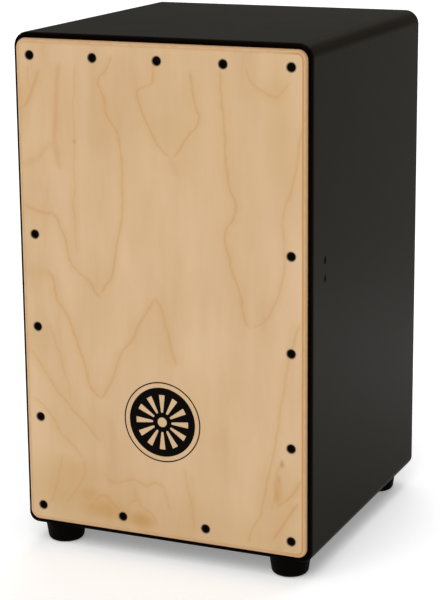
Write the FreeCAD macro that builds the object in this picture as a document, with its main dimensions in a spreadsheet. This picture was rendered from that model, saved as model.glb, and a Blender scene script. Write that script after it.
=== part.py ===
import FreeCAD, Part
import math
import os
import Sketcher

# A cajon: a wooden box drum that the player sits on. Six panels make the box, and a thin
# struck plate is screwed over its open front. Two half sets of snare strands lean on the
# inside of that plate from a cross rail, and four rubber feet lift the box off the floor.
#
# Frame: +Z up, the struck plate faces -Y, the origin is on the floor under the middle.
# Lengths are millimetres and angles degrees.

doc = FreeCAD.newDocument("cajon")

# --- driving dimensions -------------------------------------------------------------

SIZES = {
    # box
    "boxWidth": 300,
    "boxHeight": 486,
    "boxDepth": 306,
    "seatThick": 15,
    "sideThick": 12,
    "backThick": 6,
    "seatRound": 14,
    "floorRound": 10,
    "rimRound": 4,
    "portBore": 57.5,
    "portRound": 1.5,
    # struck plate
    "plateThick": 3.5,
    "plateGapSide": 4.2,
    "plateGapEnd": 5.3,
    "plateCorner": 9.5,
    "plateRound": 3.2,
    "screwInsetSide": 14.8,
    "screwInsetEnd": 15.8,
    "screwRise": 91,
    # printed disc on the plate
    "decalThick": 0.2,
    "decalDrop": 120.9,
    "discRadius": 34,
    "ringRadius": 39.5,
    "ringWide": 1.1,
    # battens
    "frontBatten": 20,
    "rearBatten": 15,
    # snare rail, brackets and strands
    "railTall": 35,
    "railDeep": 20,
    "railSetBack": 22.5,
    "railRise": 33.25,
    "railScrewApart": 17.3,
    "snareApart": 124,
    "bracketWide": 48,
    "bracketLeg": 13,
    "bracketLip": 14,
    "bracketThick": 1.2,
    "bracketScrewApart": 32,
    "snareLean": 8.5,
    "strandRadius": 0.9,
    "strandPitch": 4.4,
    "strandLong": 135,
    "strandStart": 2,
    # feet
    "footInsetSide": 30,
    "footInsetEnd": 27,
    "footForward": 4.6,
    "footHeight": 20,
    "footTop": 20.2,
    "footBottom": 17.3,
    "footRound": 5,
    "footWell": 6.6,
    "footWellDeep": 13,
    "footBore": 2.7,
    "washerRadius": 6.2,
    "washerThick": 1.2,
    # screws: head radius, head height, shank radius and length under the head
    "plateHead": 4,
    "plateShank": 1.75,
    "plateScrewLong": 20,
    "plateSink": 0.45,
    "railHead": 2.95,
    "railShank": 1.75,
    "railScrewLong": 35,
    "railSink": 0.7,
    "bracketHead": 3,
    "bracketHeadTall": 1.8,
    "bracketShank": 1.45,
    "bracketScrewLong": 12,
    "footHead": 4.5,
    "footHeadTall": 3,
    "footShank": 2.4,
    "footScrewLong": 20,
    # room for a screw
    "pilotGap": 0.05,
    "plateHole": 2.1,
    "plateSinkRadius": 4.5,
    "panelHole": 1.9,
    "panelSinkRadius": 3.7,
    "bracketHole": 1.6,
    "jointGap": 0.02,
}

STRANDS = 10

sheet = doc.addObject("Spreadsheet::Sheet", "sheet")
for row, (alias, size) in enumerate(SIZES.items(), start=1):
    sheet.set("A%d" % row, str(size))
    sheet.setAlias("A%d" % row, alias)
doc.recompute()

# Places that several parts share, as expressions on the sheet.
MIDDLE_Z = "(sheet.footHeight + sheet.boxHeight / 2)"
SHELL_FRONT = "((sheet.decalThick + sheet.plateThick - sheet.boxDepth) / 2)"
SHELL_MIDDLE = "((sheet.decalThick + sheet.plateThick) / 2)"
SHELL_BACK = "((sheet.decalThick + sheet.plateThick + sheet.boxDepth) / 2)"
INNER_WIDTH = "(sheet.boxWidth - 2 * sheet.sideThick)"
INNER_HEIGHT = "(sheet.boxHeight - 2 * sheet.seatThick)"
PLATE_WIDTH = "(sheet.boxWidth - 2 * sheet.plateGapSide)"
PLATE_HEIGHT = "(sheet.boxHeight - 2 * sheet.plateGapEnd)"
RAIL_FRONT = "(%s + sheet.railSetBack)" % SHELL_FRONT
RAIL_MIDDLE_Z = "(%s + sheet.railRise)" % MIDDLE_Z
RAIL_TOP = "(%s + sheet.railTall / 2)" % RAIL_MIDDLE_Z

X_AXIS = FreeCAD.Vector(1, 0, 0)
Y_AXIS = FreeCAD.Vector(0, 1, 0)
NO_TURN = FreeCAD.Rotation()

parts = []          # the sub-parts that are written out


# --- helpers ------------------------------------------------------------------------

def number(expression):
    """The value of an expression on the sheet."""
    return float(sheet.evalExpression(expression))


def place(thing, x="0", y="0", z="0", turn=NO_TURN):
    """Put an object at a point that follows the sheet."""
    thing.Placement = FreeCAD.Placement(FreeCAD.Vector(0, 0, 0), turn)
    for axis, expression in zip("xyz", (x, y, z)):
        thing.setExpression("Placement.Base." + axis, expression)


def newBody(label, x="0", y="0", z="0"):
    body = doc.addObject("PartDesign::Body", label)
    body.Label = label
    place(body, x, y, z)
    return body


def newSketch(body, plane, lift="0"):
    """A sketch on one of the body's own planes, lifted along that plane's normal."""
    sketch = body.newObject("Sketcher::SketchObject", body.Name + "_sketch")
    origin = [face for face in body.Origin.OriginFeatures if face.Role == plane][0]
    sketch.AttachmentSupport = [(origin, "")]
    sketch.MapMode = "FlatFace"
    sketch.setExpression("AttachmentOffset.Base.z", lift)
    return sketch


def fixPoint(sketch, line, end, x, y):
    """Hold one sketch point at (x, y), both given as expressions."""
    for kind, axis, expression in (("DistanceX", -2, x), ("DistanceY", -1, y)):
        value = number(expression)
        if value == 0:
            sketch.addConstraint(Sketcher.Constraint("PointOnObject", line, end, axis))
            continue
        index = sketch.addConstraint(Sketcher.Constraint(kind, -1, 1, line, end, value))
        sketch.setExpression("Constraints[%d]" % index, expression)


def outline(sketch, points):
    """A closed run of straight lines through points given as expressions."""
    corners = [FreeCAD.Vector(number(x), number(y), 0) for x, y in points]
    count = len(points)
    for i in range(count):
        sketch.addGeometry(Part.LineSegment(corners[i], corners[(i + 1) % count]))
    for i in range(count):
        sketch.addConstraint(Sketcher.Constraint("Coincident", i, 2, (i + 1) % count, 1))
    for i, (x, y) in enumerate(points):
        fixPoint(sketch, i, 1, x, y)


def rectangle(sketch, width, height, x="0", y="0"):
    """A rectangle about the point (x, y)."""
    left, right = "%s - %s / 2" % (x, width), "%s + %s / 2" % (x, width)
    low, high = "%s - %s / 2" % (y, height), "%s + %s / 2" % (y, height)
    outline(sketch, [(left, low), (right, low), (right, high), (left, high)])


def circle(sketch, x, y, radius):
    centre = FreeCAD.Vector(number(x), number(y), 0)
    ring = sketch.addGeometry(Part.Circle(centre, FreeCAD.Vector(0, 0, 1), number(radius)))
    fixPoint(sketch, ring, 3, x, y)
    index = sketch.addConstraint(Sketcher.Constraint("Radius", ring, number(radius)))
    sketch.setExpression("Constraints[%d]" % index, radius)


def pad(body, sketch, length):
    """Thicken a sketch by the same amount each way."""
    feature = body.newObject("PartDesign::Pad", body.Name + "_pad")
    feature.Profile = sketch
    feature.SideType = "Symmetric"
    feature.setExpression("Length", length)
    doc.recompute()
    return feature


def revolve(body, points):
    """Turn an outline in the body's XZ plane about its Z axis."""
    sketch = newSketch(body, "XZ_Plane")
    outline(sketch, points)
    feature = body.newObject("PartDesign::Revolution", body.Name + "_turned")
    feature.Profile = sketch
    feature.ReferenceAxis = (sketch, ["V_Axis"])
    feature.Angle = 360
    doc.recompute()
    return feature


def drill(body, plane, lift, centres, radius, depth=None, backwards=False):
    """Round holes in a plane of the body: blind to a depth, or right through."""
    before = body.Shape.Volume
    sketch = newSketch(body, plane, lift)
    for x, y in centres:
        circle(sketch, x, y, radius)
    feature = body.newObject("PartDesign::Pocket", body.Name + "_holes")
    feature.Profile = sketch
    if depth is None:
        feature.Type = "ThroughAll"
        feature.SideType = "Symmetric"
    else:
        feature.Reversed = backwards
        feature.setExpression("Length", depth)
    doc.recompute()
    least = len(centres) * math.pi * number(radius) ** 2
    if depth is not None:
        least *= 0.99 * number(depth)
    if before - body.Shape.Volume < least:
        raise RuntimeError("the holes in %s cut too little" % body.Label)
    return feature


def edgeNames(shape, wanted):
    """Names of the edges whose bounding box passes a test."""
    return ["Edge%d" % i for i, edge in enumerate(shape.Edges, start=1) if wanted(edge.BoundBox)]


def ease(body, wanted, size, kind="Fillet"):
    """Round or chamfer the edges of the body that pass a test."""
    base = body.Tip
    names = edgeNames(base.Shape, wanted)
    if not names:
        raise RuntimeError("no edge to ease on %s" % body.Label)
    feature = body.newObject("PartDesign::" + kind, body.Name + "_eased")
    feature.Base = (base, names)
    feature.setExpression("Radius" if kind == "Fillet" else "Size", size)
    doc.recompute()
    return feature


def copies(label, original, places):
    """One sub-part made of a separate solid at each (x, y, z, turn)."""
    links = []
    for x, y, z, turn in places:
        link = doc.addObject("App::Link", label + "_copy")
        link.LinkedObject = original
        place(link, x, y, z, turn)
        links.append(link)
    group = doc.addObject("Part::Compound", label)
    group.Label = label
    group.Links = links
    parts.append(group)


def near(value, target):
    return abs(value - target) < 0.01


# --- box ----------------------------------------------------------------------------

def seatPanel(label, up):
    """The seat (up = 1) or the floor of the box (up = -1), rounded along both sides."""
    height = "%s + %d * (sheet.boxHeight - sheet.seatThick) / 2" % (MIDDLE_Z, up)
    body = newBody(label, y=SHELL_MIDDLE, z=height)
    sketch = newSketch(body, "XZ_Plane")
    rectangle(sketch, "sheet.boxWidth", "sheet.seatThick")
    pad(body, sketch, "sheet.boxDepth")
    outer = up * number("sheet.seatThick / 2")
    halfDepth = number("sheet.boxDepth / 2")
    ease(body, lambda box: near(box.ZMin, outer) and near(box.ZMax, outer)
         and near(box.YLength, 2 * halfDepth),
         "sheet.seatRound" if up > 0 else "sheet.floorRound")
    ease(body, lambda box: near(abs(box.YMin), halfDepth) and near(box.YLength, 0)
         and not (near(box.ZMin, -outer) and near(box.ZMax, -outer)), "sheet.rimRound")
    parts.append(body)
    return body


def sidePanel(label, side):
    """A side wall; its outer upright edges carry the rim's rounding down the box."""
    middle = "%d * (sheet.boxWidth - sheet.sideThick) / 2" % side
    body = newBody(label, middle, SHELL_MIDDLE, MIDDLE_Z)
    sketch = newSketch(body, "XY_Plane")
    rectangle(sketch, "sheet.sideThick", "sheet.boxDepth")
    pad(body, sketch, INNER_HEIGHT)
    outer = side * number("sheet.sideThick / 2")
    ease(body, lambda box: near(box.XMin, outer) and near(box.XLength, 0)
         and near(box.ZLength, number(INNER_HEIGHT)), "sheet.rimRound")
    drill(body, "YZ_Plane", "0", railScrewPlaces(), "sheet.panelHole")
    hole = 2 * number("sheet.panelHole")
    ease(body, lambda box: near(box.XMin, outer) and near(box.XLength, 0)
         and near(box.ZLength, hole), "sheet.panelSinkRadius - sheet.panelHole", "Chamfer")
    parts.append(body)


def railScrewPlaces():
    """(y, z) of the two screws at a rail end, from the middle of a side wall."""
    back = "(sheet.railSetBack + sheet.railDeep / 2 - sheet.boxDepth / 2)"
    return [(back, "sheet.railRise %s sheet.railScrewApart / 2" % sign) for sign in "-+"]


def backPanel():
    """The back, let in flush between the walls, with the round sound port."""
    body = newBody("back_panel", y="%s - sheet.backThick / 2" % SHELL_BACK, z=MIDDLE_Z)
    sketch = newSketch(body, "XZ_Plane")
    rectangle(sketch, INNER_WIDTH, INNER_HEIGHT)
    circle(sketch, "0", "0", "sheet.portBore")
    pad(body, sketch, "sheet.backThick")
    outer = number("sheet.backThick / 2")
    bore = 2 * number("sheet.portBore")
    ease(body, lambda box: near(box.YMin, outer) and near(box.YLength, 0)
         and near(box.XLength, bore) and near(box.ZLength, bore), "sheet.portRound")
    parts.append(body)


# --- battens ------------------------------------------------------------------------

def plateScrewPlaces():
    """(x, z) of the fifteen plate screws, from the middle of the plate."""
    edge = "(%s / 2 - sheet.screwInsetSide)" % PLATE_WIDTH
    end = "(%s / 2 - sheet.screwInsetEnd)" % PLATE_HEIGHT
    top = [("%g * %s" % (step / 2, edge), end) for step in (-2, -1, 0, 1, 2)]
    bottom = [("%d * %s / 3" % (step, edge), "-" + end) for step in (-3, -1, 1, 3)]
    sides = [("%d * %s" % (side, edge), "%d * sheet.screwRise - %s" % (step, end))
             for side in (-1, 1) for step in (1, 2, 3)]
    return top + bottom + sides


def batten(label, size, y, width, height, x="0", z="0"):
    """A square stick glued inside the box; x and z are from the middle of the box."""
    body = newBody(label, y=y, z=MIDDLE_Z)
    sketch = newSketch(body, "XZ_Plane")
    rectangle(sketch, width, height, x, z)
    pad(body, sketch, size)
    parts.append(body)
    return body


def frontBatten(label, width, height, x="0", z="0"):
    """A batten behind the plate, with a pilot hole for each plate screw that meets it."""
    size = "sheet.frontBatten"
    body = batten(label, size, "%s + %s / 2" % (SHELL_FRONT, size), width, height, x, z)
    met = []
    for across, up in plateScrewPlaces():
        inWidth = abs(number(across) - number(x)) < number(width) / 2
        inHeight = abs(number(up) - number(z)) < number(height) / 2
        if inWidth and inHeight:
            met.append((across, up))
    pilot = "(sheet.plateShank + sheet.pilotGap)"
    drill(body, "XZ_Plane", size + " / 2", met, pilot, size + " - 2")


def battens():
    """Four battens round the front opening and four round the back panel."""
    for name, size in (("front", "sheet.frontBatten"), ("rear", "sheet.rearBatten")):
        across = "(%s - %s) / 2" % (INNER_WIDTH, size)
        up = "(%s - %s) / 2" % (INNER_HEIGHT, size)
        between = "(%s - 2 * %s)" % (INNER_WIDTH, size)
        sticks = [("left", size, INNER_HEIGHT, "-" + across, "0"),
                  ("right", size, INNER_HEIGHT, across, "0"),
                  ("top", between, size, "0", up),
                  ("bottom", between, size, "0", "-" + up)]
        for where, width, height, x, z in sticks:
            label = "%s_%s_batten" % (name, where)
            if name == "front":
                frontBatten(label, width, height, x, z)
            else:
                y = "%s - sheet.backThick - %s / 2" % (SHELL_BACK, size)
                batten(label, size, y, width, height, x, z)


# --- struck plate -------------------------------------------------------------------

def frontPlate():
    """The thin plywood plate that is struck, eased all round its front edge."""
    body = newBody("front_plate", y="%s - sheet.plateThick / 2" % SHELL_FRONT, z=MIDDLE_Z)
    sketch = newSketch(body, "XZ_Plane")
    rectangle(sketch, PLATE_WIDTH, PLATE_HEIGHT)
    pad(body, sketch, "sheet.plateThick")
    thick = number("sheet.plateThick")
    ease(body, lambda box: near(box.YLength, thick), "sheet.plateCorner")
    ease(body, lambda box: near(box.YMin, -thick / 2) and near(box.YLength, 0), "sheet.plateRound")
    drill(body, "XZ_Plane", "0", plateScrewPlaces(), "sheet.plateHole")
    hole = 2 * number("sheet.plateHole")
    ease(body, lambda box: near(box.YMin, -thick / 2) and near(box.YLength, 0)
         and near(box.XLength, hole), "sheet.plateSinkRadius - sheet.plateHole", "Chamfer")
    parts.append(body)


def frontDecal():
    """A printed disc and the thin ring round it, on the face of the plate."""
    toFront = FreeCAD.Rotation(X_AXIS, 90)
    pieces = []
    for name, radius in (("disc", "sheet.discRadius"), ("ringOuter", "sheet.ringRadius"),
                         ("ringInner", "sheet.ringRadius - sheet.ringWide")):
        round_ = doc.addObject("Part::Cylinder", "decal_" + name)
        round_.setExpression("Radius", radius)
        round_.setExpression("Height", "sheet.decalThick")
        place(round_, "0", "%s - sheet.plateThick" % SHELL_FRONT,
              "%s - sheet.decalDrop" % MIDDLE_Z, toFront)
        pieces.append(round_)
    ring = doc.addObject("Part::Cut", "decal_ring")
    ring.Base = pieces[1]
    ring.Tool = pieces[2]
    decal = doc.addObject("Part::Compound", "front_decal")
    decal.Label = "front_decal"
    decal.Links = [pieces[0], ring]
    parts.append(decal)


# --- screws -------------------------------------------------------------------------

def crossRecess(body, top, reach, wide, deep):
    """Sink a cross into a screw head whose top is at a given height."""
    sketch = newSketch(body, "XY_Plane", top)
    far, half = "(%s)" % reach, "(%s / 2)" % wide
    arm = [(far, "-" + half), (far, half), (half, half)]
    points = []
    for quarter in range(4):
        for x, y in arm:
            for _ in range(quarter):
                x, y = "-" + y, x
            points.append((x.replace("--", ""), y.replace("--", "")))
    outline(sketch, points)
    feature = body.newObject("PartDesign::Pocket", body.Name + "_cross")
    feature.Profile = sketch
    feature.setExpression("Length", deep)
    doc.recompute()


def screw(label, head, shank, length, tall="0"):
    """A wood screw pointing down its own -Z: sunk head, or a domed one if tall is given."""
    body = newBody(label)
    taper = "(1.6 * %s)" % shank
    tip = [(shank, "-(%s - %s)" % (length, taper)), ("0", "-%s" % length)]
    if tall == "0":
        points = [("0", "0"), (head, "0"), (shank, "-(%s - %s)" % (head, shank))] + tip
    else:
        points = [("0", tall), ("0.55 * " + head, tall), ("0.9 * " + head, "0.7 * " + tall),
                  (head, "0.3 * " + tall), (head, "0"), (shank, "0")] + tip
    revolve(body, points)
    crossRecess(body, tall, "0.5 * " + head, "0.2 * " + head, "0.35 * " + head)
    return body


def screws():
    """Every screw, as one sub-part for each kind."""
    toFront = FreeCAD.Rotation(X_AXIS, 90)
    toFloor = FreeCAD.Rotation(X_AXIS, 180)

    original = screw("plate_screw", "sheet.plateHead", "sheet.plateShank", "sheet.plateScrewLong")
    front = "%s - sheet.plateThick + sheet.plateSink" % SHELL_FRONT
    copies("front_plate_screws", original,
           [(x, front, "%s + %s" % (MIDDLE_Z, z), toFront) for x, z in plateScrewPlaces()])

    original = screw("rail_screw", "sheet.railHead", "sheet.railShank", "sheet.railScrewLong")
    sunk = "(sheet.boxWidth / 2 - sheet.railSink)"
    copies("snare_rail_screws", original,
           [("%d * %s" % (side, sunk), "%s + %s" % (SHELL_MIDDLE, y), "%s + %s" % (MIDDLE_Z, z),
             FreeCAD.Rotation(Y_AXIS, 90 * side))
            for side in (-1, 1) for y, z in railScrewPlaces()])

    original = screw("bracket_screw", "sheet.bracketHead", "sheet.bracketShank",
                     "sheet.bracketScrewLong", "sheet.bracketHeadTall")
    copies("snare_bracket_screws", original,
           [(x, "%s + %s" % (RAIL_FRONT, y), "%s + sheet.bracketThick" % RAIL_TOP, NO_TURN)
            for x, y in bracketScrewPlaces()])

    original = screw("foot_screw", "sheet.footHead", "sheet.footShank", "sheet.footScrewLong",
                     "sheet.footHeadTall")
    copies("foot_screws", original,
           [(x, y, "sheet.footWellDeep - sheet.washerThick", toFloor)
            for _, x, y in footPlaces()])


# --- snares -------------------------------------------------------------------------

def bracketScrewPlaces():
    """(x, y) of the four bracket screws, x from the middle and y from the rail's front."""
    back = "(sheet.bracketThick + sheet.bracketLeg) / 2"
    return [("%d * sheet.snareApart / 2 %s sheet.bracketScrewApart / 2" % (side, sign), back)
            for side in (-1, 1) for sign in "-+"]


def snareRail():
    """The cross rail that both half snare sets are fixed to, screwed through the walls."""
    body = newBody("snare_rail", y="%s + sheet.railDeep / 2" % RAIL_FRONT, z=RAIL_MIDDLE_Z)
    sketch = newSketch(body, "YZ_Plane")
    rectangle(sketch, "sheet.railDeep", "sheet.railTall")
    pad(body, sketch, INNER_WIDTH)
    ends = [("0", "%s sheet.railScrewApart / 2" % sign) for sign in ("-", "1 *")]
    pilot = "(sheet.railShank + sheet.pilotGap)"
    depth = "sheet.railScrewLong - sheet.sideThick + 2"
    drill(body, "YZ_Plane", INNER_WIDTH + " / 2", ends, pilot, depth)
    drill(body, "YZ_Plane", "-" + INNER_WIDTH + " / 2", ends, pilot, depth, backwards=True)
    tops = [(x, "%s - sheet.railDeep / 2" % y) for x, y in bracketScrewPlaces()]
    drill(body, "XY_Plane", "sheet.railTall / 2", tops, "(sheet.bracketShank + sheet.pilotGap)",
          "sheet.bracketScrewLong + 2")
    parts.append(body)


def snareBracket(label, side):
    """A bent strip: one leg is screwed to the rail, the other leans towards the plate."""
    body = newBody(label, "%d * sheet.snareApart / 2" % side, RAIL_FRONT, RAIL_TOP)
    sketch = newSketch(body, "YZ_Plane")
    thick, lip = "sheet.bracketThick", "sheet.bracketLip"
    lean = "sheet.snareLean"
    inner = "%s * (1 - sin(%s)) / cos(%s)" % (thick, lean, lean)
    outline(sketch, [
        ("0", "0"),
        ("sheet.bracketLeg", "0"),
        ("sheet.bracketLeg", thick),
        (inner, thick),
        ("%s * cos(%s) - %s * sin(%s)" % (thick, lean, lip, lean),
         "%s * sin(%s) + %s * cos(%s)" % (thick, lean, lip, lean)),
        ("-%s * sin(%s)" % (lip, lean), "%s * cos(%s)" % (lip, lean))])
    pad(body, sketch, "sheet.bracketWide")
    back = bracketScrewPlaces()[0][1]
    holes = [("%s sheet.bracketScrewApart / 2" % sign, back) for sign in ("-", "1 *")]
    drill(body, "XY_Plane", "0", holes, "sheet.bracketHole", thick, backwards=True)
    parts.append(body)


def snareStrands(label, side):
    """Ten strands that rise from a bracket and end just behind the plate."""
    lean = "sheet.snareLean"
    turn = FreeCAD.Rotation(X_AXIS, number(lean))
    off = "(sheet.strandRadius + sheet.jointGap)"
    y = "%s - sheet.strandStart * sin(%s) - %s * cos(%s)" % (RAIL_FRONT, lean, off, lean)
    z = "%s + sheet.strandStart * cos(%s) - %s * sin(%s)" % (RAIL_TOP, lean, off, lean)
    strands = []
    for i in range(STRANDS):
        strand = doc.addObject("Part::Cylinder", "strand")
        strand.setExpression("Radius", "sheet.strandRadius")
        strand.setExpression("Height", "sheet.strandLong")
        step = i - (STRANDS - 1) / 2
        x = "%d * sheet.snareApart / 2 + %g * sheet.strandPitch" % (side, step)
        place(strand, x, y, z, turn)
        strand.setExpression("Placement.Rotation.Angle", lean)
        strands.append(strand)
    group = doc.addObject("Part::Compound", label)
    group.Label = label
    group.Links = strands
    parts.append(group)


# --- feet ---------------------------------------------------------------------------

def footPlaces():
    """(name, x, y) of the four feet."""
    across = "(sheet.boxWidth / 2 - sheet.footInsetSide)"
    along = "(sheet.boxDepth / 2 - sheet.footInsetEnd)"
    return [("%s_%s_foot" % (end, hand), "%d * %s" % (side, across),
             "%s + %d * %s - sheet.footForward" % (SHELL_MIDDLE, way, along))
            for end, way in (("front", -1), ("rear", 1))
            for hand, side in (("left", -1), ("right", 1))]


def foot(label, x, y):
    """A tapered rubber foot with a well underneath for its screw and washer."""
    body = newBody(label, x, y)
    revolve(body, [
        ("sheet.footWell", "0"),
        ("sheet.footBottom", "0"),
        ("sheet.footTop", "sheet.footHeight"),
        ("sheet.footBore", "sheet.footHeight"),
        ("sheet.footBore", "sheet.footWellDeep"),
        ("sheet.footWell", "sheet.footWellDeep")])
    width = 2 * number("sheet.footBottom")
    ease(body, lambda box: near(box.ZMax, 0) and near(box.XLength, width), "sheet.footRound")
    parts.append(body)


def footWashers():
    """A steel washer in each foot's well, under the screw head."""
    disc = doc.addObject("Part::Cylinder", "washer_disc")
    disc.setExpression("Radius", "sheet.washerRadius")
    disc.setExpression("Height", "sheet.washerThick")
    hole = doc.addObject("Part::Cylinder", "washer_hole")
    hole.setExpression("Radius", "sheet.footBore")
    hole.setExpression("Height", "sheet.washerThick")
    washer = doc.addObject("Part::Cut", "washer")
    washer.Base = disc
    washer.Tool = hole
    copies("foot_washers", washer,
           [(x, y, "sheet.footWellDeep - sheet.washerThick", NO_TURN) for _, x, y in footPlaces()])


# --- assembly -----------------------------------------------------------------------

seatPanel("top_panel", 1)
bottomPanel = seatPanel("bottom_panel", -1)
drill(bottomPanel, "XY_Plane", "-sheet.seatThick / 2",
      [(x, "%s - %s" % (y, SHELL_MIDDLE)) for _, x, y in footPlaces()],
      "(sheet.footShank + sheet.pilotGap)", "sheet.seatThick - 2", backwards=True)
sidePanel("left_side_panel", -1)
sidePanel("right_side_panel", 1)
backPanel()
battens()
frontPlate()
frontDecal()
snareRail()
for hand, side in (("left", -1), ("right", 1)):
    snareBracket("%s_snare_bracket" % hand, side)
    snareStrands("%s_snare_strands" % hand, side)
for label, x, y in footPlaces():
    foot(label, x, y)
footWashers()
screws()
doc.recompute()

# --- check and write ----------------------------------------------------------------

for thing in doc.Objects:
    if "Invalid" in thing.State or "Error" in thing.State:
        raise RuntimeError("%s did not compute" % thing.Label)
for part in parts:
    if part.Shape.isNull() or not part.Shape.isValid():
        raise RuntimeError("%s has no valid shape" % part.Label)

os.makedirs("parts", exist_ok=True)
for part in parts:
    part.Shape.exportStep("parts/%s.step" % part.Label)
    print("%-22s %2d solid(s) %10.1f mm3" % (part.Label, len(part.Shape.Solids), part.Shape.Volume))
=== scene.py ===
import bpy
import math
from mathutils import Matrix, Vector


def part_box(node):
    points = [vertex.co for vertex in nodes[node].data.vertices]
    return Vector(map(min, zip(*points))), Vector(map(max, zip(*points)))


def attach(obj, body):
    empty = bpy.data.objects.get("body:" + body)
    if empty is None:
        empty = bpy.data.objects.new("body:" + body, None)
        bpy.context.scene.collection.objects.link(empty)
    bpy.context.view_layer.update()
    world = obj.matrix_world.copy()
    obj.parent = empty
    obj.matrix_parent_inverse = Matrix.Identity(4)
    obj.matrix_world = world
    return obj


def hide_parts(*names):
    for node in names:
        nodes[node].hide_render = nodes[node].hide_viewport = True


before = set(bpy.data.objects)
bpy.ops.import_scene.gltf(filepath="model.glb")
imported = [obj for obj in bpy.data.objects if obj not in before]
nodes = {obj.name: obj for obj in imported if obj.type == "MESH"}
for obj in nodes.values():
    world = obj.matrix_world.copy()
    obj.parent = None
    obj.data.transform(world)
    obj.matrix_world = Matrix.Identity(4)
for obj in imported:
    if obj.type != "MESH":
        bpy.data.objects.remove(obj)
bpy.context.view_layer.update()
bpy.ops.object.select_all(action="DESELECT")
print("frame loaded:", len(nodes), "nodes")


class Wire:
    # a node's output, which takes part in Python sums
    def __init__(self, finish, socket):
        self.finish = finish
        self.socket = socket

    def __add__(self, other):
        return self.finish.sum("ADD", self, other)

    __radd__ = __add__

    def __mul__(self, other):
        return self.finish.sum("MULTIPLY", self, other)

    __rmul__ = __mul__

    def __sub__(self, other):
        return self.finish.sum("SUBTRACT", self, other)

    def __rsub__(self, other):
        return self.finish.sum("SUBTRACT", other, self)

    def __truediv__(self, other):
        return self.finish.sum("DIVIDE", self, other)

    def __lt__(self, other):
        return self.finish.sum("LESS_THAN", self, other)

    def __gt__(self, other):
        return self.finish.sum("GREATER_THAN", self, other)

    def __abs__(self):
        return self.finish.sum("ABSOLUTE", self)

    def most(self, other):
        return self.finish.sum("MAXIMUM", self, other)

    def least(self, other):
        return self.finish.sum("MINIMUM", self, other)


class Finish:
    # one material: a Principled shader and the nodes that feed it
    def __init__(self, name, **surface):
        self.material = bpy.data.materials.new(name)
        self.material.use_nodes = True
        self.tree = self.material.node_tree
        self.tree.nodes.clear()
        self.shader = self.tree.nodes.new("ShaderNodeBsdfPrincipled")
        output = self.tree.nodes.new("ShaderNodeOutputMaterial")
        self.tree.links.new(self.shader.outputs[0], output.inputs[0])
        for socketName, value in surface.items():
            self.shader.inputs[socketName.replace("_", " ")].default_value = value
        metres = self.node("TexCoord", out="Object")
        self.place = self.node("VectorMath", {"operation": "SCALE"}, {0: metres, "Scale": 1000.0})
        split = self.node("SeparateXYZ", None, {0: self.place}).socket.node
        self.x, self.y, self.z = (Wire(self, axis) for axis in split.outputs)      # in millimetres

    def node(self, kind, settings=None, inputs=None, out=0):
        new = self.tree.nodes.new("ShaderNode" + kind)
        for key, value in (settings or {}).items():
            if key == "stops":
                self.setStops(new.color_ramp, value)
            elif key == "curve":
                self.setCurve(new.mapping, value)
            else:
                setattr(new, key, value)
        for key, value in (inputs or {}).items():
            self.join(new.inputs[key], value)
        return Wire(self, new.outputs[out])

    def setStops(self, ramp, stops):
        while len(ramp.elements) < len(stops):
            ramp.elements.new(0.5)
        for element, (place, colour) in zip(ramp.elements, stops):
            element.position = place
            element.color = (*colour, 1.0)

    def setCurve(self, mapping, points):
        line = mapping.curves[0]
        while len(line.points) < len(points):
            line.points.new(0.5, 0.5)
        for point, place in zip(line.points, points):
            point.location = place
        mapping.update()

    def join(self, socket, value):
        if isinstance(value, Wire):
            self.tree.links.new(value.socket, socket)
        elif isinstance(value, tuple) and len(value) == 3 and socket.type == "RGBA":
            socket.default_value = (*value, 1.0)
        else:
            socket.default_value = value

    def sum(self, operation, *values):
        return self.node("Math", {"operation": operation}, dict(enumerate(values)))

    def stretch(self, across, along, deep):
        # the place scaled for a pattern that runs up the piece
        return self.node("VectorMath", {"operation": "MULTIPLY"}, {0: self.place, 1: (across, deep, along)})

    def noise(self, vector, scale=1.0, detail=2.0, roughness=0.5):
        return self.node("TexNoise", None,
                         {"Vector": vector, "Scale": scale, "Detail": detail, "Roughness": roughness})

    def fade(self, value, start, end, low=0.0, high=1.0):
        return self.node("MapRange", {"interpolation_type": "SMOOTHSTEP"},
                         {"Value": value, "From Min": start, "From Max": end,
                          "To Min": low, "To Max": high})

    def tint(self, factor, first, second, blend="MIX"):
        return self.node("Mix", {"data_type": "RGBA", "blend_type": blend},
                         {0: factor, 6: first, 7: second}, out=2)

    def length(self, vector):
        return self.node("VectorMath", {"operation": "LENGTH"}, {0: vector}, out="Value")

    def ramp(self, value, stops):
        return self.node("ValToRGB", {"stops": stops}, {0: value})

    def bump(self, height, distance, strength=1.0):
        return self.node("Bump", None, {"Height": height, "Distance": distance, "Strength": strength})

    def wear(self, **links):
        # the finished material, with its varying sockets linked
        for socketName, value in links.items():
            self.join(self.shader.inputs[socketName.replace("_", " ")], value)
        return self.material


def dress(material, *names):
    for name in names:
        for materialSlot in nodes[name].material_slots:
            materialSlot.material = material


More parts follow.
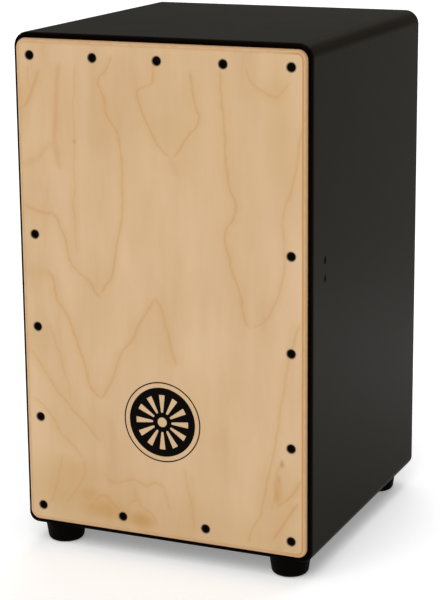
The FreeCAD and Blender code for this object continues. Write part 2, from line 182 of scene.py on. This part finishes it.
stage = {
    "floorSize": 80.0,
    "floorTint": (0.88, 0.88, 0.88),
    "floorSpeck": 0.985,           # how dark its faint mottling goes
    "floorGlow": 0.27,             # a light table: the floor shines a little of its own
    "worldTint": (1.0, 1.0, 1.0),
    "worldStrength": 0.31,
    "lights": (                    # name, strength, soft angle, azimuth, elevation
        ("frontKey", 1.55, 50.0, 0.0, 52.0),
        ("backKey", 1.10, 50.0, 180.0, 52.0),
        ("frontFill", 0.18, 50.0, 0.0, 22.0),
        ("backFill", 0.08, 50.0, 170.0, 22.0),
        ("overhead", 0.12, 50.0, 0.0, 90.0),
    ),
    "pool": (0.46, 0.62, 1.9),     # a lamp over the floor beside the box, which its side mirrors
    "poolStrength": 170.0,
    "poolAngle": 26.0,
    "poolSize": 0.3,
    "cameraPlace": (0.7435, -1.7200, 0.7051),
    "cameraTurn": 0.412,           # radians round the upright
    "cameraDip": 0.239,            # radians below level
    "cameraRoll": -0.009,
    "lens": 115.04,
    "sensorWidth": 36.0,
    "shift": (0.0043, -0.038),
}


def makeFloor():
    bpy.ops.mesh.primitive_plane_add(size=stage["floorSize"], location=(0, 0, 0))
    floor = bpy.context.object
    floor.name = "floor"
    paper = Finish("studioPaper", Roughness=0.9, Specular_IOR_Level=0.0,
                   Emission_Color=(1.0, 1.0, 1.0, 1.0), Emission_Strength=stage["floorGlow"])
    speck = paper.noise(paper.place, scale=0.02, detail=3.0)
    tone = stage["floorTint"]
    darker = tuple(channel * stage["floorSpeck"] for channel in tone)
    floor.data.materials.append(paper.wear(Base_Color=paper.tint(speck, darker, tone)))


def makeLights():
    world = bpy.data.worlds.new("studio")
    world.use_nodes = True
    background = world.node_tree.nodes["Background"]
    background.inputs[0].default_value = (*stage["worldTint"], 1.0)
    background.inputs[1].default_value = stage["worldStrength"]
    bpy.context.scene.world = world
    for name, strength, softness, azimuth, elevation in stage["lights"]:
        bpy.ops.object.light_add(type="SUN", location=(0, 0, 3))
        lamp = bpy.context.object
        lamp.name = name
        lamp.data.energy = strength
        lamp.data.angle = math.radians(softness)
        a, e = math.radians(azimuth), math.radians(elevation)
        towards = Vector((math.sin(a) * math.cos(e), -math.cos(a) * math.cos(e), math.sin(e)))  # to the sun
        lamp.rotation_euler = towards.to_track_quat("Z", "Y").to_euler()
    bpy.ops.object.light_add(type="SPOT", location=stage["pool"])
    pool = bpy.context.object
    pool.name = "floorPool"
    pool.data.energy = stage["poolStrength"]
    pool.data.spot_size = math.radians(stage["poolAngle"])
    pool.data.spot_blend = 1.0
    pool.data.shadow_soft_size = stage["poolSize"]


def makeCamera():
    bpy.ops.object.camera_add()
    camera = bpy.context.object
    camera.name = "camera"
    turn = Matrix.Rotation(stage["cameraTurn"], 4, "Z")
    turn = turn @ Matrix.Rotation(math.pi / 2 - stage["cameraDip"], 4, "X")
    turn = turn @ Matrix.Rotation(stage["cameraRoll"], 4, "Z")
    camera.matrix_world = Matrix.Translation(stage["cameraPlace"]) @ turn
    camera.data.lens = stage["lens"]
    camera.data.sensor_width = stage["sensorWidth"]
    camera.data.shift_x, camera.data.shift_y = stage["shift"]
    camera.data.clip_end = 200.0
    bpy.context.scene.camera = camera


makeFloor()
makeLights()
makeCamera()
bpy.context.scene.view_settings.view_transform = "Standard"
print("stage ready")


shell = {
    "paint": (0.0078, 0.0054, 0.0018),
    "paintWorn": (0.0100, 0.0072, 0.0029),
    "rimPaintedShade": (0.0018, 0.0007, 0.0001),     # painted shade: the front edges darker than the sides
    "rimFront": -151.15,
    "rimBack": -146.6,
    "rimDull": 0.85,                          # how much of the gloss the rim loses
    "gloss": 0.048,
    "glossSpread": 0.018,
    "roughness": 0.30,
    "wood": (0.46, 0.31, 0.17),
    "woodDark": (0.31, 0.19, 0.09),
    "innerHalfWidth": 138.1,
    "innerBottom": 34.9,
    "innerTop": 491.1,
    "rearInner": 148.95,
}


def lacquer(name):
    coat = Finish(name, IOR=1.5, Specular_IOR_Level=0.0038, Coat_IOR=1.5, Coat_Roughness=0.34)
    broad = coat.noise(coat.place, scale=0.012, detail=2.0)
    cloth = coat.noise(coat.place, scale=0.9, detail=3.0, roughness=0.6)
    peel = coat.noise(coat.place, scale=0.35, detail=2.0)
    paint = coat.tint(broad * 0.6 + cloth * 0.4, shell["paint"], shell["paintWorn"])
    # painted shade: over the shell's front rim the paint turns darker and loses most of its gloss
    shadedRim = coat.fade(coat.y, shell["rimFront"], shell["rimBack"], 1.0, 0.0)
    paint = coat.tint(shadedRim, paint, shell["rimPaintedShade"])
    # the walls are bare wood inside the box
    inside = (abs(coat.x) < shell["innerHalfWidth"]) * (coat.z > shell["innerBottom"])
    inside = inside * (coat.z < shell["innerTop"]) * (coat.y < shell["rearInner"])
    fibre = coat.noise(coat.stretch(1.3, 0.05, 1.3), detail=4.0, roughness=0.6)
    wood = coat.tint(coat.fade(fibre, 0.35, 0.65), shell["woodDark"], shell["wood"])
    colour = coat.tint(inside, paint, wood)
    roughness = shell["roughness"] + 0.08 * broad + 0.05 * cloth + 0.3 * inside
    height = peel * 0.6 + cloth * 0.4
    gloss = (1 - shell["rimDull"] * shadedRim) * (shell["gloss"] + shell["glossSpread"] * broad) * (1 - inside)
    return coat.wear(Base_Color=colour, Roughness=roughness, Coat_Weight=gloss,
                     Normal=coat.bump(height, 0.00004, 0.35))


dress(lacquer("blackLacquer"), "top_panel", "bottom_panel", "left_side_panel", "right_side_panel",
      "back_panel")
print("lacquer done")


plate = {
    "light": (0.636, 0.434, 0.249),
    "middle": (0.594, 0.393, 0.213),
    "dark": (0.548, 0.345, 0.170),
    "line": (0.435, 0.238, 0.088),
    "halo": (0.585, 0.333, 0.136),
    "pale": (0.700, 0.500, 0.320),
    # a warm wood tone, also used as painted shade at the lower left
    "warm": (0.500, 0.311, 0.117),
    "amber": (0.470, 0.225, 0.035),
    "knot": (0.330, 0.130, 0.040),
    "glue": (0.470, 0.225, 0.062),
    "core": (0.600, 0.345, 0.150),
    # painted shade on the plate's rounded outer edge
    "edge": (0.300, 0.165, 0.060),
    # painted shade: a dark ring round each screw recess
    "burn": (0.060, 0.032, 0.015),
    "mix": {                       # how strongly each tone, and each painted shade, covers the plain face
        "pale": 0.50, "warm": 0.50, "amber": 0.62, "knot": 0.55,
        "halo": 0.38, "line": 0.32, "edge": 0.40, "burn": 0.80,
    },
    "front": -154.65,
    "halfWidth": 145.8,
    "halfHeight": 237.7,
    "middleZ": 263.0,
    "corner": 9.5,
    "span": 520.0,                 # the curves' 0 to 1 along the height
    "reach": 300.0,                # and across the width
    "sway": 5.0,                   # how far the lines stray slowly from their curves
    "shiver": 3.0,                 # and how far quickly
    "fibre": (1.5, 0.03, 0.0),     # fibres: across, along, deep
    "screwSide": 131.0,
    "screwRows": (484.9, 314.1, 223.1, 132.1, 41.1),
    "screwsBetween": ((65.5, 484.9), (0.0, 484.9), (43.7, 41.1)),
    "screwHole": 4.2,
    # where the painted shade round each screw hole fades out
    "screwShadeReach": 5.6,
}

# each grain line: how it runs, its points (along, across) in millimetres, strength, width
grainLines = (
    ("tall", ((397, 14), (401, 8), (408, 0), (422, -8), (436, -14), (447, -18), (455, -20), (461, -14),
              (464, -5), (484, -4)), 1.0, 1.5),
    ("tall", ((396, 14), (402, 20), (412, 26), (421, 33), (428, 40), (436, 42), (445, 38), (460, 35),
              (478, 34)), 1.0, 1.5),
    ("tall", ((380, 18), (388, 15), (397, 14)), 0.5, 4.0),
    ("tall", ((261, -62), (270, -57), (280, -50), (300, -46), (320, -42), (340, -38), (370, -37),
              (400, -38), (413, -40), (425, -46), (435, -52), (448, -54), (464, -60), (474, -52),
              (488, -46)), 1.0, 1.4),
    ("tall", ((257, -63), (264, -68), (274, -74), (280, -85), (292, -94), (308, -98), (327, -105),
              (338, -112)), 1.0, 1.6),
    ("wide", ((-143, 344), (-130, 337), (-120, 336), (-110, 337)), 0.9, 2.0),
    ("tall", ((244, 91), (250, 86), (258, 84), (272, 82), (285, 77), (298, 72), (310, 70), (325, 66),
              (335, 68), (345, 75), (360, 77), (372, 71), (385, 69), (405, 67), (430, 66), (455, 64),
              (480, 63)), 1.0, 1.6),
    ("tall", ((243, 92), (247, 99), (252, 106), (262, 112), (282, 120), (300, 124), (355, 124),
              (370, 130), (390, 135), (410, 138), (430, 141)), 0.8, 1.5),
    ("tall", ((435, -139), (450, -130), (472, -122)), 1.0, 2.0),
    ("tall", ((452, -131), (462, -133), (476, -133)), 0.6, 1.4),
    ("tall", ((378, -101), (400, -106), (430, -105), (450, -104), (480, -100)), 0.8, 3.2),
    ("wide", ((-145, 380), (-136, 384), (-125, 388), (-115, 400), (-104, 402)), 0.6, 5.0),
    ("tall", ((300, -87), (335, -88), (370, -87), (405, -86), (440, -86), (478, -83)), 0.6, 1.1),
    ("tall", ((157, -64), (170, -75), (185, -80), (205, -86), (222, -92), (240, -100), (255, -110),
              (268, -112), (280, -118)), 1.0, 1.7),
    ("tall", ((157, -65), (172, -55), (188, -48), (205, -42), (220, -30), (240, -20), (255, -10),
              (264, -4)), 0.9, 2.0),
    ("tall", ((198, 15), (215, 11), (235, 6), (250, 2), (264, -5)), 0.9, 1.7),
    ("tall", ((153, -97), (170, -100), (190, -106), (210, -112), (228, -118)), 0.6, 1.5),
    ("tall", ((114, -66), (125, -75), (140, -92), (150, -100), (160, -112), (178, -124), (188, -130),
              (200, -140)), 0.8, 1.7),
    ("tall", ((95, -84), (105, -95), (120, -110), (138, -122), (152, -137)), 0.8, 1.6),
    ("tall", ((48, -104), (65, -92), (80, -84), (97, -85)), 0.7, 2.0),
    ("tall", ((43, -123), (62, -116), (80, -112), (97, -107)), 0.6, 1.6),
    ("wide", ((-64, 84), (-57, 76), (-50, 75), (-40, 78), (-30, 81), (-18, 76), (-8, 80),
              (2, 76)), 0.8, 1.6),
    ("tall", ((52, 7), (65, 4), (77, 0)), 0.6, 1.5),
    ("wide", ((-82, 40), (-75, 50), (-70, 58), (-62, 60), (-55, 54), (-42, 42)), 0.9, 1.8),
    ("wide", ((-38, 50), (-34, 57), (-28, 60), (-22, 52), (-12, 48), (-6, 38)), 0.7, 1.5),
    ("tall", ((60, -30), (68, -30), (76, -29)), 0.6, 1.2),
    ("tall", ((38, 32), (60, 30), (80, 26), (100, 22)), 0.6, 1.6),
    ("tall", ((32, 88), (48, 92), (62, 100), (80, 104), (100, 108), (115, 112), (140, 116), (165, 120),
              (195, 125), (220, 130), (252, 139)), 0.8, 1.5),
    ("tall", ((70, 112), (85, 115), (105, 117), (118, 121)), 0.7, 1.6),
    ("tall", ((74, 116), (85, 130), (103, 141)), 1.0, 1.8),
    ("tall", ((40, 113), (58, 124), (80, 138)), 1.1, 1.8),
    ("wide", ((86, 484), (96, 467), (104, 462), (112, 458), (118, 458), (124, 465),
              (131, 472)), 0.7, 2.0),
)

# soft patches, laid on in this order: x, z, half width, half height, strength
patches = {
    "pale": (
        (130, 260, 26, 130, 0.70), (62, 250, 40, 90, 0.45), (-106, 270, 18, 54, 0.60),
        (-12, 250, 16, 60, 0.30), (126, 150, 22, 50, 0.50),
    ),
    # the warm tone; its two large patches at the lower left also stand for painted shade, darkening the
    # plate towards that corner
    "warm": (
        (-104, 62, 50, 42, 1.25), (-130, 212, 15, 30, 0.80), (70, 40, 110, 34, 0.60),
        (70, 440, 100, 62, 0.45), (118, 430, 22, 66, 0.75), (-88, 428, 15, 44, 0.50),
        (-28, 370, 15, 66, 0.40), (32, 425, 16, 80, 0.65), (-70, 245, 34, 56, 0.35),
        (-98, 122, 34, 48, 0.45), (116, 78, 28, 44, 0.85), (-50, 428, 26, 32, 0.50),
        (12, 420, 28, 26, 0.60), (-62, 46, 48, 24, 1.10), (34, 165, 20, 30, 0.25),
    ),
    "amber": (
        (-23, 40, 15, 9, 1.0), (-62, 46, 26, 10, 0.70), (-78, 58, 16, 9, 0.45),
        (118, 88, 5.0, 16.0, 0.55), (-98, 84, 12, 12, 0.20), (-104, 425, 7, 42, 0.26),
        (-138, 440, 8, 34, 0.30), (-130, 278, 18, 8, 0.25), (112, 464, 16, 12, 0.20),
    ),
    "knot": (
        (122, 116, 2.4, 4.6, 1.0), (119, 101, 2.0, 5.0, 0.50), (117, 84, 2.4, 6.0, 0.40),
        (-86, 406, 2.0, 3.0, 0.6),
    ),
}


def strongest(masks):
    total = masks[0]
    for mask in masks[1:]:
        total = total.most(mask)
    return total


def grainMask(ply):
    wander = ply.noise(ply.stretch(0.05, 0.05, 0.0), detail=3.0) - 0.5
    shiver = ply.noise(ply.stretch(0.5, 0.12, 0.0), detail=2.0) - 0.5
    offset = wander * plate["sway"] + shiver * plate["shiver"]
    xPart = (ply.x + offset) / plate["reach"] + 0.5
    zPart = (ply.z + offset) / plate["span"]
    cores = []
    halos = []
    for run, points, strength, width in grainLines:
        if run == "tall":
            along, across = zPart, xPart
            curve = [(p / plate["span"], q / plate["reach"] + 0.5) for p, q in points]
            scale, ends = plate["reach"], plate["span"]
        else:
            along, across = xPart, zPart
            curve = [(p / plate["reach"] + 0.5, q / plate["span"]) for p, q in points]
            scale, ends = plate["span"], plate["reach"]
        line = ply.node("FloatCurve", {"curve": curve}, {"Value": along})
        gap = abs(across - line)
        first, last = curve[0][0], curve[-1][0]
        middle, half = (first + last) / 2, abs(last - first) / 2
        # each line fades out over a few millimetres at its ends
        window = ply.fade(abs(along - middle), half - 5.0 / ends, half + 2.5 / ends, 1.0, 0.0)
        cores.append(ply.fade(gap, 0.0, width * 1.5 / scale, strength, 0.0) * window)
        halos.append(ply.fade(gap, 0.0, width * 6.5 / scale, strength, 0.0) * window)
    return strongest(cores), strongest(halos)


def patchMask(ply, spots):
    masks = []
    for x, z, wide, high, strength in spots:
        gap = ply.node("VectorMath", {"operation": "MULTIPLY"},
                       {0: ply.place, 1: (1 / wide, 0.0, 1 / high)})
        gap = ply.node("VectorMath", {"operation": "DISTANCE"},
                       {0: gap, 1: (x / wide, 0.0, z / high)}, out="Value")
        masks.append(ply.fade(gap, 0.15, 1.35, strength, 0.0))
    return strongest(masks)


# painted shade round each screw hole: 1 at the hole's edge, fading to 0 a little way out
def screwShadeMask(ply):
    side = ply.node("CombineXYZ", None, {0: abs(ply.x), 1: 0.0, 2: ply.z})
    places = [(plate["screwSide"], z) for z in plate["screwRows"]] + list(plate["screwsBetween"])
    nearest = None
    for x, z in places:
        gap = ply.node("VectorMath", {"operation": "DISTANCE"}, {0: side, 1: (x, 0.0, z)}, out="Value")
        nearest = gap if nearest is None else nearest.least(gap)
    return ply.fade(nearest, plate["screwHole"], plate["screwShadeReach"], 1.0, 0.0)


def outlineGap(ply):
    # how far a point is from the plate's outline, below 0 inside it
    besideX = abs(ply.x) - (plate["halfWidth"] - plate["corner"])
    besideZ = abs(ply.z - plate["middleZ"]) - (plate["halfHeight"] - plate["corner"])
    corner = ply.node("CombineXYZ", None, {0: besideX.most(0.0), 1: besideZ.most(0.0)})
    return ply.length(corner) + besideX.most(besideZ).least(0.0) - plate["corner"]


def plywood():
    ply = Finish("clearPlywood", IOR=1.5, Specular_IOR_Level=0.35, Coat_Roughness=0.35)
    mix = plate["mix"]
    figure = ply.noise(ply.stretch(0.020, 0.006, 0.0), detail=3.0, roughness=0.55)
    band = ply.noise(ply.stretch(0.09, 0.008, 0.0), detail=2.0)
    fibre = ply.noise(ply.stretch(*plate["fibre"]), detail=4.0, roughness=0.65)
    pores = ply.noise(ply.stretch(3.2, 0.16, 0.0), detail=2.0, roughness=0.5)
    tone = figure * 0.76 + band * 0.13 + fibre * 0.11
    face = ply.ramp(tone, ((0.34, plate["dark"]), (0.47, plate["middle"]), (0.61, plate["light"])))
    face = ply.tint(ply.fade(fibre, 0.50, 0.72, 0.0, 0.25), face, plate["middle"])
    face = ply.tint(ply.fade(pores, 0.60, 0.74, 0.0, 0.20), face, plate["line"])
    cores, halos = grainMask(ply)
    # tones laid on in patches; the big warm ones at the lower left are painted shade
    for tint, spots in patches.items():
        face = ply.tint(patchMask(ply, spots) * mix[tint], face, plate[tint])
    face = ply.tint(halos * mix["halo"], face, plate["halo"])
    face = ply.tint(cores * mix["line"], face, plate["line"])
    # the eased edge cuts down through the front ply to the core and its glue lines
    depth = ply.y - plate["front"]
    gap = outlineGap(ply)
    edgeFibre = ply.noise(ply.stretch(0.15, 0.15, 1.2), detail=3.0)
    core = ply.tint(ply.fade(edgeFibre, 0.35, 0.65), plate["core"], plate["middle"])
    coreShown = ply.fade(depth, 3.10, 3.20, 1.0, 0.0) * ply.fade(gap, -4.0, -3.0)
    frontGlue = ply.fade(gap, -4.9, -3.8) * ply.fade(gap, -3.4, -2.2, 1.0, 0.0)
    frontGlue = frontGlue * ply.fade(depth, 0.8, 1.2, 1.0, 0.0) * ply.fade(ply.x, 110.0, 143.0, 0.30, 0.90)
    rearGlue = ply.fade(depth, 3.05, 3.12) * ply.fade(depth, 3.24, 3.30, 1.0, 0.0)
    colour = ply.tint(coreShown, face, core)
    colour = ply.tint(frontGlue.most(rearGlue), colour, plate["glue"])
    # painted shade: darker over the outer 2.6 mm of the rounded edge, towards the outline
    colour = ply.tint(ply.fade(gap, -2.6, -0.1, 0.0, mix["edge"]), colour, plate["edge"])
    # painted shade: a dark ring round each screw recess
    colour = ply.tint(screwShadeMask(ply) * mix["burn"], colour, plate["burn"])
    roughness = 0.42 + 0.12 * fibre + 0.1 * coreShown
    height = fibre * 0.5 + pores * 0.3 - cores * 0.2
    return ply.wear(Base_Color=colour, Roughness=roughness,
                    Normal=ply.bump(height, 0.00003, 0.5), Coat_Weight=0.15)


dress(plywood(), "front_plate")
print("plate done")


timber = {
    "light": (0.60, 0.42, 0.23),
    "dark": (0.40, 0.24, 0.11),
    "ring": (0.27, 0.14, 0.055),
    "rings": 9.0,
    "ringScale": (0.004, 0.22),    # along and across the fibres
    "fibreScale": (0.03, 1.6),
}


def softwood(name, run):
    # run is the axis that the fibres follow
    pine = Finish(name, IOR=1.5, Specular_IOR_Level=0.3)
    places = []
    for along, across in (timber["ringScale"], timber["fibreScale"]):
        scale = tuple(along if axis == run else across for axis in "xyz")
        places.append(pine.node("VectorMath", {"operation": "MULTIPLY"}, {0: pine.place, 1: scale}))
    bands = pine.sum("FRACT", pine.noise(places[0], detail=1.0) * timber["rings"])
    fibre = pine.noise(places[1], detail=4.0, roughness=0.6)
    colour = pine.tint(pine.fade(fibre, 0.3, 0.7), timber["dark"], timber["light"])
    colour = pine.tint(pine.fade(bands, 0.55, 1.0, 0.0, 0.55), colour, timber["ring"])
    return pine.wear(Base_Color=colour, Roughness=0.55 + 0.15 * fibre,
                     Normal=pine.bump(fibre * 0.7 + bands * 0.3, 0.00006, 0.5))


dress(softwood("softwoodAcross", "x"), "front_top_batten", "front_bottom_batten", "rear_top_batten",
      "rear_bottom_batten", "snare_rail")
dress(softwood("softwoodUpright", "z"), "front_left_batten", "front_right_batten", "rear_left_batten",
      "rear_right_batten")
print("battens and rail done")


screws = {
    "light": (0.0022, 0.0015, 0.0010),
    "dark": (0.0008, 0.0005, 0.0003),
}


def blackMetal():
    screw = Finish("blackScrew", IOR=1.5, Specular_IOR_Level=0.025)
    grit = screw.noise(screw.place, scale=2.4, detail=3.0)
    rub = screw.noise(screw.place, scale=0.5, detail=2.0)
    colour = screw.tint(grit, screws["dark"], screws["light"])
    return screw.wear(Base_Color=colour, Roughness=0.36 + 0.2 * rub,
                      Normal=screw.bump(grit, 0.00002, 0.4))


hardware = {
    "light": (0.62, 0.62, 0.63),
    "dark": (0.40, 0.41, 0.43),
    "roughness": 0.30,
}


def plated(name, light, dark, roughness):
    metal = Finish(name, Metallic=1.0)
    spangle = metal.node("TexVoronoi", {"feature": "F1"},
                         {"Vector": metal.place, "Scale": 0.35}, out="Distance")
    grit = metal.noise(metal.place, scale=1.8, detail=4.0)
    colour = metal.tint(spangle * 0.6 + grit * 0.4, dark, light)
    return metal.wear(Base_Color=colour, Roughness=roughness + 0.15 * grit,
                      Normal=metal.bump(grit, 0.00002, 0.35))


feet = {
    "light": (0.0020, 0.0014, 0.0010),
    "dark": (0.0007, 0.0005, 0.0003),
}


def rubber():
    foot = Finish("footRubber", IOR=1.5, Specular_IOR_Level=0.02)
    grain = foot.noise(foot.place, scale=1.6, detail=3.0, roughness=0.6)
    dust = foot.noise(foot.place, scale=0.15, detail=3.0)
    colour = foot.tint(grain * 0.5 + dust * 0.5, feet["dark"], feet["light"])
    return foot.wear(Base_Color=colour, Roughness=0.50 + 0.15 * dust,
                     Normal=foot.bump(grain, 0.00008, 0.4))


zinc = plated("zincPlate", hardware["light"], hardware["dark"], hardware["roughness"])
dress(blackMetal(), "front_plate_screws", "snare_rail_screws")
dress(zinc, "snare_bracket_screws", "foot_screws", "foot_washers", "left_snare_bracket",
      "right_snare_bracket")
dress(rubber(), "front_left_foot", "front_right_foot", "rear_left_foot", "rear_right_foot")
print("metal and rubber done")


mark = {
    "discRadius": 0.034,
    "ringInner": 0.0384,
    "ringOuter": 0.0395,
    "rays": 12,
    "rayFrom": 0.0095,
    "rayTo": 0.0270,
    "rayInnerWidth": 0.0022,
    "rayOuterWidth": 0.0062,
    "rayRound": 0.0008,
    "hubRadius": 0.0048,
    "discSides": 128,
    "ringSides": 160,
    "hubSides": 48,
    "cutDepth": 0.0080,            # the cutters are far deeper than the ink
    "mergeWithin": 0.000002,
    "ink": (0.0018, 0.0012, 0.0009),
    "inkThin": (0.0060, 0.0036, 0.0022),
}


def ink():
    # it lies thinner on the plate's raised fibres
    inked = Finish("printedInk", IOR=1.5, Specular_IOR_Level=0.03)
    fibre = inked.noise(inked.stretch(*plate["fibre"]), detail=4.0, roughness=0.65)
    speck = inked.noise(inked.place, scale=1.2, detail=3.0)
    thin = inked.fade(fibre, 0.50, 0.70, 0.0, 0.35) + inked.fade(speck, 0.62, 0.75, 0.0, 0.25)
    colour = inked.tint(thin, mark["ink"], mark["inkThin"])
    return inked.wear(Base_Color=colour, Roughness=0.45 + 0.15 * fibre,
                      Normal=inked.bump(fibre, 0.00003, 0.4))


def pick(*things):
    bpy.ops.object.select_all(action="DESELECT")
    for thing in things:
        thing.select_set(True)
    bpy.context.view_layer.objects.active = things[0]


def mergeDoubles(distance):
    bpy.ops.object.mode_set(mode="EDIT")
    bpy.ops.mesh.select_all(action="SELECT")
    bpy.ops.mesh.remove_doubles(threshold=distance)
    bpy.ops.object.mode_set(mode="OBJECT")


def cutAway(thing, cutter):
    pick(thing)
    cut = thing.modifiers.new("cut", "BOOLEAN")
    cut.operation = "DIFFERENCE"
    cut.solver = "EXACT"
    cut.object = cutter
    bpy.ops.object.modifier_apply(modifier="cut")
    bpy.data.objects.remove(cutter)
    mergeDoubles(mark["mergeWithin"])


def addDisc(radius, depth, place, sides):
    bpy.ops.mesh.primitive_cylinder_add(vertices=sides, radius=radius, depth=depth, location=place,
                                        rotation=(math.pi / 2, 0, 0))
    return bpy.context.object


def addRay(depth, centre, turn):
    middle = (mark["rayFrom"] + mark["rayTo"]) / 2
    place = centre + Vector((math.sin(turn) * middle, 0, math.cos(turn) * middle))
    bpy.ops.mesh.primitive_cube_add(size=1.0, location=place)
    ray = bpy.context.object
    ray.scale = (mark["rayInnerWidth"], depth, mark["rayTo"] - mark["rayFrom"])
    bpy.ops.object.transform_apply(location=False, rotation=False, scale=True)
    # only its outer end is left selected, and is widened
    for face in ray.data.polygons:
        face.select = face.normal.z > 0.9
    for edge in ray.data.edges:
        edge.select = False
    for corner in ray.data.vertices:
        corner.select = corner.co.z > 0
    widen = mark["rayOuterWidth"] / mark["rayInnerWidth"]
    bpy.ops.object.mode_set(mode="EDIT")
    bpy.ops.transform.resize(value=(widen, 1, 1), center_override=place)
    bpy.ops.object.mode_set(mode="OBJECT")
    bevel = ray.modifiers.new("round", "BEVEL")
    bevel.width = mark["rayRound"]
    bevel.segments = 3
    bevel.limit_method = "ANGLE"
    bpy.ops.object.modifier_apply(modifier="round")
    ray.rotation_euler = (0, turn, 0)
    return ray


def makeMark():
    low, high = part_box("front_decal")
    centre = (low + high) / 2
    thickness = high.y - low.y
    deep = mark["cutDepth"]
    disc = addDisc(mark["discRadius"], thickness, centre, mark["discSides"])
    cutters = [addRay(deep, centre, 2 * math.pi * k / mark["rays"]) for k in range(mark["rays"])]
    cutters.append(addDisc(mark["hubRadius"], deep, centre, mark["hubSides"]))
    pick(*cutters)
    bpy.ops.object.join()
    cutAway(disc, bpy.context.object)
    ring = addDisc(mark["ringOuter"], thickness, centre, mark["ringSides"])
    cutAway(ring, addDisc(mark["ringInner"], deep, centre, mark["ringSides"]))
    pick(disc, ring)
    bpy.ops.object.join()
    bpy.ops.object.transform_apply(location=True, rotation=True, scale=True)
    disc.name = "front_mark"
    disc.data.materials.clear()
    disc.data.materials.append(ink())
    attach(disc, "root")
    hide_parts("front_decal")


makeMark()
print("mark done")


strands = {
    "count": 10,
    "outerRadius": 0.0009,
    "wireRadius": 0.00021,
    "turnPitch": 0.00070,
    "turnSteps": 8,
    "wireSides": 5,
    "spare": 0.0012,
    "lean": 8.5,                   # degrees towards the plate
    "mergeWithin": 0.000001,
    "light": (0.60, 0.58, 0.55),
    "dark": (0.34, 0.32, 0.30),
    "roughness": 0.25,
}


def makeStrands(name, cadName, material):
    # a ring of wire is wound up into one coil, its ends are closed, and the coil is repeated
    low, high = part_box(cadName)
    middle = (low + high) / 2
    lean = math.radians(strands["lean"])
    radius = strands["outerRadius"]
    length = (high.z - low.z - 2 * radius * math.sin(lean)) / math.cos(lean)
    turns = int((length - strands["spare"]) / strands["turnPitch"])
    bpy.ops.mesh.primitive_circle_add(vertices=strands["wireSides"], radius=strands["wireRadius"],
                                      location=(radius - strands["wireRadius"], 0, 0),
                                      rotation=(math.pi / 2, 0, 0))
    coil = bpy.context.object
    bpy.ops.object.transform_apply(location=True, rotation=True, scale=True)
    wind = coil.modifiers.new("wind", "SCREW")
    wind.axis = "Z"
    wind.angle = 2 * math.pi
    wind.screw_offset = strands["turnPitch"]
    wind.iterations = turns
    wind.steps = strands["turnSteps"]
    wind.render_steps = strands["turnSteps"]
    bpy.ops.object.modifier_apply(modifier="wind")
    mergeDoubles(strands["mergeWithin"])
    bpy.ops.object.mode_set(mode="EDIT")
    bpy.ops.mesh.select_all(action="DESELECT")
    bpy.ops.mesh.select_non_manifold()
    bpy.ops.mesh.fill_holes(sides=0)
    bpy.ops.mesh.select_all(action="SELECT")
    bpy.ops.mesh.normals_make_consistent(inside=False)
    bpy.ops.object.mode_set(mode="OBJECT")
    coil.location = (0, 0, -turns * strands["turnPitch"] / 2)
    bpy.ops.object.transform_apply(location=True, rotation=True, scale=True)
    coil.rotation_euler = (lean, 0, 0)
    bpy.ops.object.transform_apply(location=True, rotation=True, scale=True)
    row = coil.modifiers.new("row", "ARRAY")
    row.count = strands["count"]
    row.use_relative_offset = False
    row.use_constant_offset = True
    row.constant_offset_displace = ((high.x - low.x - 2 * radius) / (strands["count"] - 1), 0, 0)
    bpy.ops.object.modifier_apply(modifier="row")
    coil.location = (low.x + radius, middle.y, middle.z)
    bpy.ops.object.transform_apply(location=True, rotation=True, scale=True)
    coil.name = name
    bpy.ops.object.shade_smooth()
    coil.data.materials.append(material)
    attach(coil, "root")
    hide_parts(cadName)
    print(name, len(coil.data.polygons), "faces")


steel = plated("snareSteel", strands["light"], strands["dark"], strands["roughness"])
makeStrands("left_snare_coils", "left_snare_strands", steel)
makeStrands("right_snare_coils", "right_snare_strands", steel)
print("snares done")
